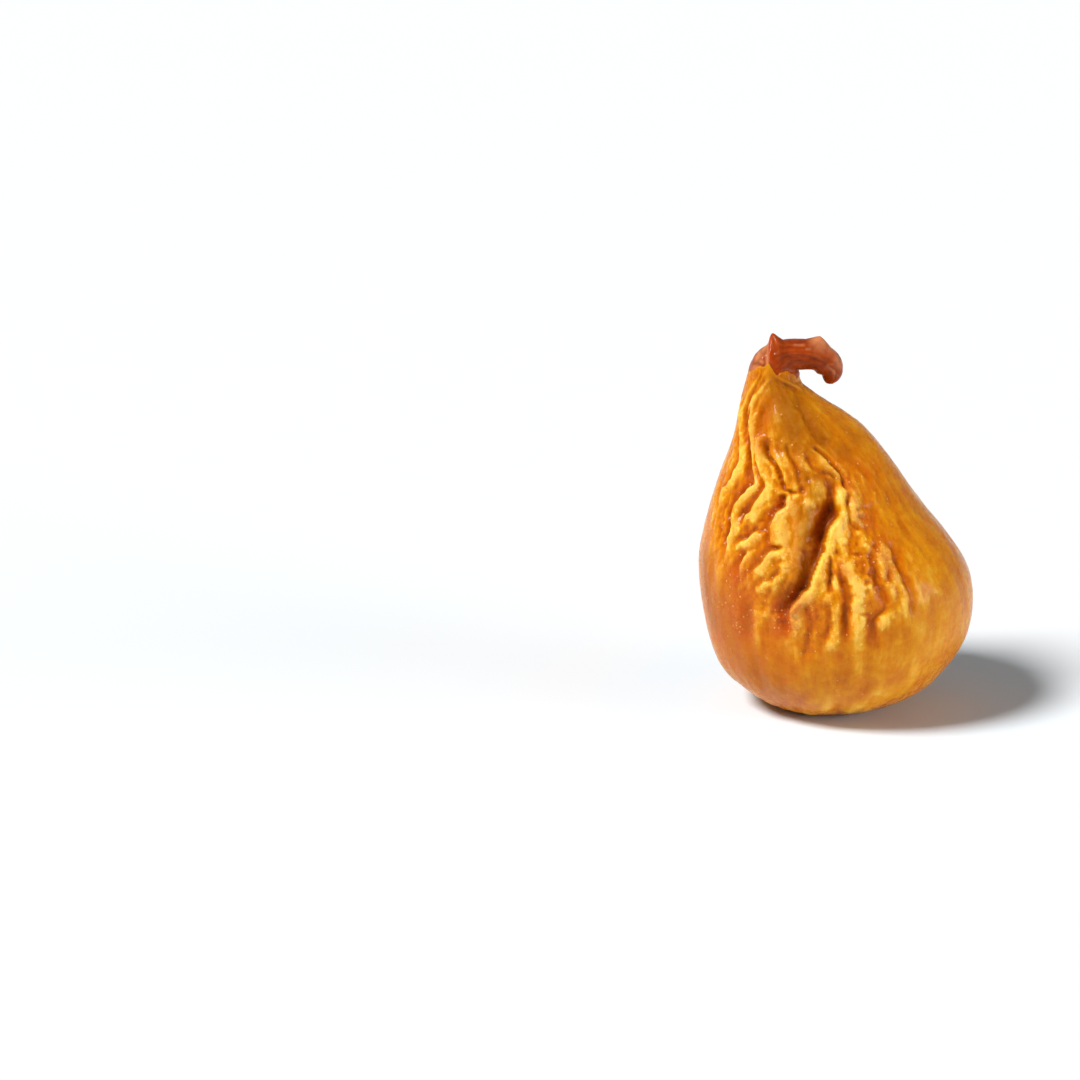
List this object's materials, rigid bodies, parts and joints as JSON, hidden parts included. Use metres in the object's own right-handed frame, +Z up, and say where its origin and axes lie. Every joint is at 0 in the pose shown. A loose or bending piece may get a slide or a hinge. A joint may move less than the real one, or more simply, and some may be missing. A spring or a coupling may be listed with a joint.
{
  "type": "dried fig",
  "caption": "Whole dried golden fig with a wrinkled neck and a short hooked stem, standing on its flattened blossom end.",
  "frame": {"origin": "centre of the flat patch that the fig rests on, on the surface it stands on", "axes": "+Z up through the neck, -Y towards the front with the deepest folds, +X the side the stem bends over to"},
  "size_m": [0.0338, 0.0303, 0.0472],
  "materials": {
    "fig_skin": "waxy, slightly translucent dried fruit skin, golden orange, darker and redder in the folds",
    "fig_stem": "satin, dried translucent reddish brown stem"
  },
  "bodies": {
    "root": {"fig_body": "fig_skin", "stem": "fig_stem"}
  },
  "joints": []
}
